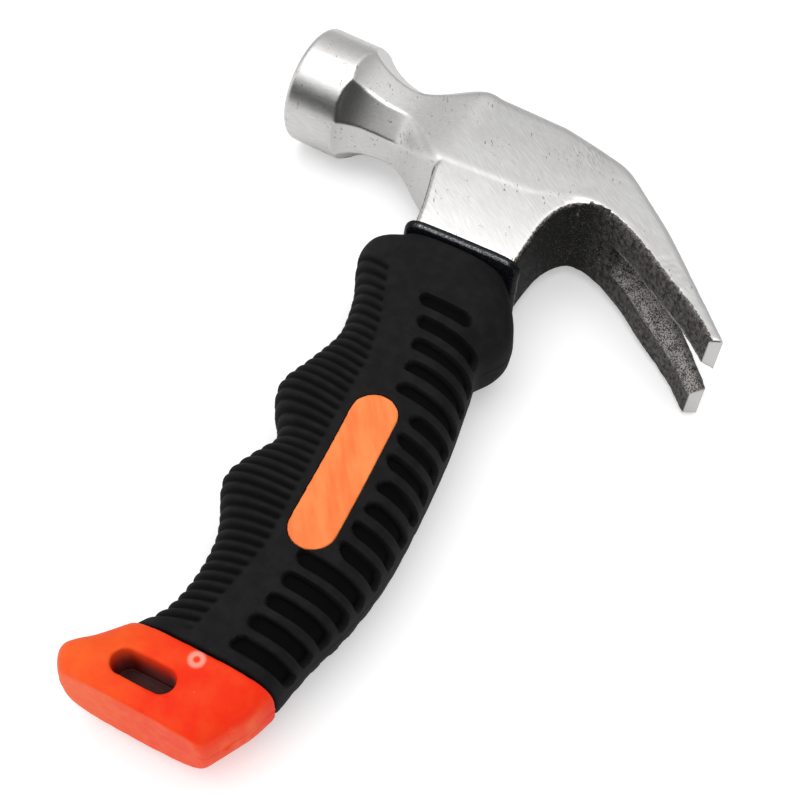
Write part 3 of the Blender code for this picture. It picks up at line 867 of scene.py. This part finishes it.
def make_grip(rubber):
    rings, dark = treaded_rings()
    grip = skin("grip_cover", rings.tolist())
    tree = kdtree.KDTree(dark.size)
    for index, point in enumerate(rings.reshape(-1, 3)):
        tree.insert(point, index)
    tree.balance()
    combine(grip, grip_form("hollow", GRIP_WALL, 48, 48, start=GRIP_LIP, past=5.0),
            "DIFFERENCE")
    combine(grip, rod_socket("rod_hole", GRIP_TOP - 10), "DIFFERENCE")
    combine(grip, prism("windows", land_outline(LAND_HALF + WINDOW_GAP), 20), "DIFFERENCE")
    flat_dark = dark.ravel()
    shade = [flat_dark[tree.find(vert.co)[1]] for vert in grip.data.vertices]
    # painted shade of the tread's grooves, carried over to the cut grip
    write_mask(grip.data, "groove_shade", shade)
    into_frame(grip, 60)
    grip.data.materials.append(rubber)
    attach(grip, "root")
    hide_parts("grip")


def dress_rod(fibre):
    """The hidden rod keeps its CAD shape and takes its finish."""
    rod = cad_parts["core_rod"]
    rod.data.materials.clear()
    rod.data.materials.append(fibre)


# ---- materials ------------------------------------------------------------------------
class Wire:
    """An output socket; arithmetic on it adds Math nodes to its tree."""

    def __init__(self, bench, socket):
        self.bench = bench
        self.socket = socket

    def maths(self, operation, first, second):
        return self.bench.node("Math", {"operation": operation}, {0: first, 1: second})

    def __add__(self, other):
        return self.maths("ADD", self, other)

    def __sub__(self, other):
        return self.maths("SUBTRACT", self, other)

    def __rsub__(self, other):
        return self.maths("SUBTRACT", other, self)

    def __mul__(self, other):
        return self.maths("MULTIPLY", self, other)

    __radd__ = __add__
    __rmul__ = __mul__


class Bench:
    """A node tree that is written as expressions."""

    def __init__(self, tree):
        self.tree = tree

    def node(self, kind, settings=None, sockets=None, output=0):
        made = self.tree.nodes.new("ShaderNode" + kind)
        for name, value in (settings or {}).items():
            setattr(made, name, value)
        for name, value in (sockets or {}).items():
            self.feed(made.inputs[name], value)
        return Wire(self, made.outputs[output])

    def feed(self, socket, value):
        if isinstance(value, Wire):
            self.tree.links.new(value.socket, socket)
        else:
            socket.default_value = value

    def step(self, value, low, high):
        """0 below low, 1 above high, soft between."""
        return self.node("MapRange", {"interpolation_type": "SMOOTHSTEP"},
                         {"Value": value, "From Min": low, "From Max": high})

    def blend(self, share, first, second):
        """Colour blend: first where share is 0."""
        return self.node("Mix", {"data_type": "RGBA"},
                         {0: share, 6: first, 7: second}, output=2)

    def grain(self, vector, scale, detail=3.0, roughness=0.5):
        return self.node("TexNoise", {"noise_dimensions": "3D"},
                         {"Vector": vector, "Scale": scale, "Detail": detail,
                          "Roughness": roughness})

    def mask(self, name):
        return self.node("Attribute", {"attribute_name": name}, output=2)


class Finish(Bench):
    """A material with one Principled shader."""

    def __init__(self, name, **constants):
        self.material = bpy.data.materials.new(name)
        self.material.use_nodes = True
        super().__init__(self.material.node_tree)
        self.shader = self.tree.nodes["Principled BSDF"]
        self.set(**constants)
        self.object = self.node("TexCoord", output=3)
        # design millimetres, so that patterns are sized as the piece is
        self.place = self.node("Mapping", None, {
            "Vector": self.object, "Location": tuple(ORIGIN), "Scale": (1 / MM,) * 3})

    def set(self, **inputs):
        for name, value in inputs.items():
            self.feed(self.shader.inputs[name.replace("_", " ")], value)

    def turned(self, angle, scale):
        """Design millimetres turned about z, then stretched, for grain that runs one way."""
        turned = self.node("Mapping", None, {"Vector": self.place, "Rotation": (0, 0, angle)})
        return self.node("Mapping", None, {"Vector": turned, "Scale": scale})

    def parts(self):
        apart = self.tree.nodes.new("ShaderNodeSeparateXYZ")
        self.tree.links.new(self.place.socket, apart.inputs[0])
        return [Wire(self, socket) for socket in apart.outputs]

    def bump(self, height, strength, distance=0.0001, under=None):
        sockets = {"Height": height, "Strength": strength, "Distance": distance}
        if under is not None:
            sockets["Normal"] = under
        return self.node("Bump", None, sockets)


def ground_skin(f, x):
    """Ground steel's colour, roughness and surface height."""
    # grinding lines: across the cheeks and claw, lengthwise on bell and neck
    cheek_lines = f.grain(f.turned(0.55, (0.35, 5.0, 2.0)), 1.0, 4.0, 0.6)
    fine_lines = f.grain(f.turned(0.75, (0.9, 14.0, 6.0)), 1.0, 3.0, 0.6)
    neck_lines = f.grain(f.turned(0.0, (0.5, 6.0, 6.0)), 1.0, 4.0, 0.6)
    on_cheek = f.step(x, -18.0, -12.0)
    lines = cheek_lines * on_cheek + neck_lines * (1 - on_cheek)
    clouds = f.grain(f.place, 0.12, 3.0, 0.5)

    # short dark polishing scratches on the cheek above the eye
    scratch = f.grain(f.turned(0.85, (0.55, 6.5, 1.0)), 1.0, 2.0, 0.4)
    patch = f.node("VectorMath", {"operation": "DISTANCE"},
                   {0: f.place, 1: (10.0, 3.5, 9.5)}, output=1)
    scratched = f.step(scratch, 0.54, 0.63) * (1 - f.step(patch, 2.0, 7.0))

    # clusters of pits and short nicks, more of them on the neck
    pit_seed = f.grain(f.turned(1.1, (0.55, 1.7, 1.2)), 1.0, 4.0, 0.7)
    pit_area = f.grain(f.place, 0.26, 2.0, 0.5)
    on_neck = f.step(x, -46.0, -38.0) * (1 - f.step(x, -22.0, -14.0))
    pits = f.step(pit_seed, 0.625, 0.66) * f.step(pit_area + 0.10 * on_neck, 0.52, 0.58)

    polished = f.blend(f.step(lines, 0.3, 0.7), (0.60, 0.595, 0.59, 1), (0.74, 0.735, 0.73, 1))
    polished = f.blend(0.35 * f.step(clouds, 0.35, 0.65), polished, (0.60, 0.585, 0.57, 1))
    polished = f.blend(0.4 * scratched, polished, (0.28, 0.26, 0.24, 1))
    polished = f.blend(0.75 * pits, polished, (0.12, 0.07, 0.05, 1))
    smooth = 0.24 + 0.12 * lines + 0.05 * clouds
    height = fine_lines * 0.5 + lines * 0.5 - 2.2 * pits - 0.3 * scratched
    return polished, smooth, pits, height


def forged_skin(f, x):
    """Forging scale: its colour, where it is, and its bare silvery specks."""
    depth = f.mask("forged_depth")
    wall = f.mask("slot_wall")
    ragged = f.grain(f.place, 1.6, 4.0, 0.65)
    ragged_depth = depth + 1.1 * (ragged - 0.5)
    forged = f.step(ragged_depth, -0.06, 0.10)
    margin = forged * (1 - f.step(ragged_depth, 0.12, 0.55))
    specks = f.grain(f.place, 3.7, 2.5, 0.7)
    drift = f.grain(f.place, 0.5, 3.0, 0.6)
    sparse = f.step(specks, 0.60, 0.68)
    dense = f.step(specks + 0.30 * (drift - 0.5), 0.46, 0.56)
    tone = f.grain(f.place, 1.1, 4.0, 0.65)
    # painted shade: the scale is darker back towards the eye, under the cheek, and lighter out on
    # the claw
    out_in_light = f.step(x, 15.0, 27.0)
    scale = f.blend(f.step(tone, 0.3, 0.7) * (0.10 + 0.90 * out_in_light),
                    (0.006, 0.0058, 0.0056, 1), (0.145, 0.136, 0.128, 1))
    silver = dense * wall * 0.8 + sparse * (1 - wall) * 0.35
    silver = silver + margin * dense * 0.45 * (1 - wall)
    scale = f.blend(silver, scale, (0.70, 0.67, 0.64, 1))
    # a rusty brown margin
    scale = f.blend(0.45 * margin * (1 - dense), scale, (0.16, 0.075, 0.04, 1))
    return scale, forged, silver


def brushed_steel():
    f = Finish("brushed_steel", Metallic=1.0)
    x = f.parts()[0]
    tip = f.mask("ground_tip")
    polished, smooth, pits, height = ground_skin(f, x)
    scale, forged, silver = forged_skin(f, x)
    forged = forged * (1 - tip)
    colour = f.blend(forged, polished, scale)
    colour = f.blend(tip * 0.8, colour, (0.60, 0.59, 0.58, 1))
    rough = 0.62 - 0.22 * silver
    f.set(Base_Color=colour,
          Roughness=smooth * (1 - forged) + rough * forged + 0.25 * pits,
          Metallic=1 - forged * (1 - silver) * 0.85)
    ground = f.bump(height, 0.12, 0.00006)
    f.shader.inputs["Specular IOR Level"].default_value = 0.2
    cast = f.grain(f.place, 2.4, 4.0, 0.65)
    f.set(Normal=f.bump(cast * forged, 0.9, 0.00035, under=ground))
    return f.material


def poured_resin():
    f = Finish("poured_resin", Metallic=0.0)
    x, y, z = f.parts()
    ripple = f.grain(f.place, 1.3, 3.0, 0.6)
    dust = f.step(f.grain(f.place, 4.0, 2.0, 0.6), 0.50, 0.62)
    # painted highlight: a pale line along the roll's crest, flecked where the dust is
    middle = -SKIRT_DROP - CLEARANCE - BEAD_HIGHLIGHT * BEAD_HEIGHT
    off_highlight = f.node("Math", {"operation": "ABSOLUTE"}, {0: y - HANG * x - middle})
    painted_highlight = (1 - f.step(off_highlight + 0.30 * ripple, 0.24, 0.46)) * f.step(z * z, 80.0, 90.0)
    painted_highlight = painted_highlight * (1 - f.step(x, 9.0, 10.5)) * f.step(x, -10.5, -8.5)
    pale = 0.02 * dust + painted_highlight * (0.2 + 0.7 * dust)
    f.set(Base_Color=f.blend(pale, (0.004, 0.0044, 0.0055, 1), (0.50, 0.51, 0.53, 1)),
          Roughness=0.16 + 0.15 * f.step(ripple, 0.4, 0.75) + 0.2 * painted_highlight,
          Normal=f.bump(ripple, 0.45, 0.0003))
    f.shader.inputs["Specular IOR Level"].default_value = 0.12
    return f.material


def glass_fibre():
    f = Finish("glass_fibre", Metallic=0.0)
    strands = f.grain(f.turned(0.0, (5.0, 0.12, 5.0)), 1.0, 3.0, 0.6)
    f.set(Base_Color=f.blend(f.step(strands, 0.3, 0.7), (0.55, 0.44, 0.22, 1),
                             (0.83, 0.75, 0.52, 1)),
          Roughness=0.42 + 0.2 * strands, Normal=f.bump(strands, 0.5, 0.0002))
    return f.material


def orange_plastic():
    f = Finish("orange_plastic", Metallic=0.0)
    x = f.parts()[0]
    inlay = f.mask("inlay")
    tone = f.grain(f.place, 0.22, 3.0, 0.55)
    flow = f.grain(f.turned(0.9, (0.10, 0.55, 0.4)), 1.0, 3.0, 0.55)
    fine = f.grain(f.place, 7.0, 3.0, 0.6)
    toe = 1 - f.step(x, -14.0, 6.0)
    ends = f.mask("scuffed")
    butt = f.blend(0.75 * toe + 0.25 * f.step(tone, 0.4, 0.7),
                   (0.90, 0.030, 0.006, 1), (0.94, 0.125, 0.022, 1))
    butt = f.blend(ends * (0.25 + 0.35 * f.step(flow, 0.35, 0.7)), butt, (0.97, 0.17, 0.060, 1))
    land = f.blend(f.step(flow, 0.30, 0.70), (0.97, 0.205, 0.056, 1), (0.98, 0.290, 0.088, 1))
    mark = f.node("VectorMath", {"operation": "DISTANCE"},
                  {0: f.place, 1: (RING_MARK[0], RING_MARK[1], 8.2)}, output=1)
    ring = f.step(mark, 0.35, 0.8) * (1 - f.step(mark + 0.8 * fine, 1.5, 2.1))
    chalk = f.step(f.grain(f.place, 1.1, 4.0, 0.6), 0.67, 0.76)
    colour = f.blend(inlay, butt, land)
    # painted shade, deepening down the hanging slot
    colour = f.blend(f.mask("shaded"), colour, (0.13, 0.001, 0.0005, 1))
    colour = f.blend(0.48 * ring, colour, (0.95, 0.62, 0.50, 1))
    colour = f.blend(0.16 * chalk * (1 - inlay), colour, (0.95, 0.50, 0.34, 1))
    f.set(Base_Color=colour, Roughness=0.38 + 0.14 * tone + 0.06 * inlay,
          Normal=f.bump(0.6 * fine + 0.4 * tone, 0.25, 0.0001))
    f.shader.inputs["Specular IOR Level"].default_value = 0.08
    return f.material


def soft_rubber():
    f = Finish("soft_rubber", Metallic=0.0)
    groove_shade = f.mask("groove_shade")
    dust = f.grain(f.place, 0.35, 4.0, 0.6)
    fine = f.grain(f.place, 6.0, 3.0, 0.6)
    top = f.blend(f.step(dust, 0.35, 0.7), (0.0060, 0.0060, 0.0070, 1), (0.0110, 0.0106, 0.0110, 1))
    # painted shade: the grooves are coloured darker than the tops of the tread
    f.set(Base_Color=f.blend(groove_shade, top, (0.0006, 0.0006, 0.0007, 1)),
          Roughness=0.62 + 0.12 * fine + 0.2 * groove_shade,
          Normal=f.bump(fine, 0.30, 0.00008))
    f.shader.inputs["Specular IOR Level"].default_value = 0.11
    return f.material


# ---- studio ---------------------------------------------------------------------------
def pale_floor():
    bm = bmesh.new()
    bmesh.ops.create_grid(bm, x_segments=1, y_segments=1, size=4.0)
    floor = body_of("floor", bm)
    f = Finish("matt_white_paper", Base_Color=(0.93, 0.93, 0.93, 1), Roughness=0.9)
    f.shader.inputs["Specular IOR Level"].default_value = 0.0
    # seen directly, the paper is a shade brighter than it lights the hammer
    f.set(Emission_Color=f.blend(f.node("LightPath"), (0, 0, 0, 1), (0.30, 0.30, 0.30, 1)))
    f.shader.inputs["Emission Strength"].default_value = 1.0
    floor.data.materials.append(f.material)


def studio_sky():
    """A pale room for fill light; steel mirrors its ceiling, grey far wall and dark near wall."""
    world = bpy.data.worlds.new("studio")
    world.use_nodes = True
    world.node_tree.nodes.clear()
    bpy.context.scene.world = world
    b = Bench(world.node_tree)
    apart = b.tree.nodes.new("ShaderNodeSeparateXYZ")
    b.feed(apart.inputs[0], b.node("TexCoord"))
    x, y, z = (Wire(b, socket) for socket in apart.outputs)
    far_wall = b.blend(b.step(z, 0.45, 0.84), (0.58, 0.58, 0.58, 1), (1.0, 1.0, 1.0, 1))
    room = b.blend(b.step(y, 0.25, -0.30), far_wall, (1.15, 1.15, 1.15, 1))
    near_wall = b.step(y - 0.4 * x, 0.0, -0.45) * (1 - b.step(z - 0.45 * x, 0.62, 0.95))
    room = b.blend(near_wall, room, (0.03, 0.03, 0.03, 1))
    fill = b.blend(b.step(y, 0.3, -0.5), (0.50, 0.50, 0.50, 1), (0.90, 0.90, 0.90, 1))
    plain = b.blend(b.node("LightPath"), fill, (1, 1, 1, 1))
    seen = b.blend(b.node("LightPath", output=3), plain, room)
    output = b.tree.nodes.new("ShaderNodeOutputWorld")
    b.feed(output.inputs["Surface"], b.node("Background", None, {"Color": seen}))


def softbox(name, towards, distance, size, radiance):
    """A square area lamp that looks at the hammer."""
    lamp = bpy.data.lights.new(name, "AREA")
    lamp.shape = "SQUARE"
    lamp.size = size
    lamp.energy = radiance * size ** 2 * math.pi
    holder = bpy.data.objects.new(name, lamp)
    away = Vector(towards).normalized()
    holder.location = away * distance
    holder.rotation_euler = away.to_track_quat("Z", "Y").to_euler()
    bpy.context.scene.collection.objects.link(holder)


def camera():
    turn, dip, roll = 0.4622, 0.9768, 0.0789     # heading from +y, look down, lean, in radians
    heading = Vector((-math.sin(turn), math.cos(turn), 0))
    right = Vector((math.cos(turn), math.sin(turn), 0))
    up = heading * math.sin(dip) + Vector((0, 0, math.cos(dip)))
    ahead = heading * math.cos(dip) - Vector((0, 0, math.sin(dip)))
    right, up = (right * math.cos(roll) + up * math.sin(roll),
                 up * math.cos(roll) - right * math.sin(roll))
    lens = bpy.data.cameras.new("camera")
    lens.lens = 64.43
    lens.sensor_width = 36
    lens.clip_start = 0.01
    holder = bpy.data.objects.new("camera", lens)
    pose = Matrix((right, up, -ahead)).transposed().to_4x4()
    pose.translation = place(70.6, -192.6, 217.6)
    holder.matrix_world = pose
    bpy.context.scene.collection.objects.link(holder)
    bpy.context.scene.camera = holder


# ---- the hammer -----------------------------------------------------------------------
make_head(brushed_steel())
make_resin(poured_resin())
make_core(orange_plastic())
make_grip(soft_rubber())
dress_rod(glass_fibre())

pale_floor()
studio_sky()
softbox("overhead_softbox", (-0.10, -0.02, 1.0), 1.0, 1.0, 1.55)
camera()
bpy.context.scene.view_settings.view_transform = "Standard"
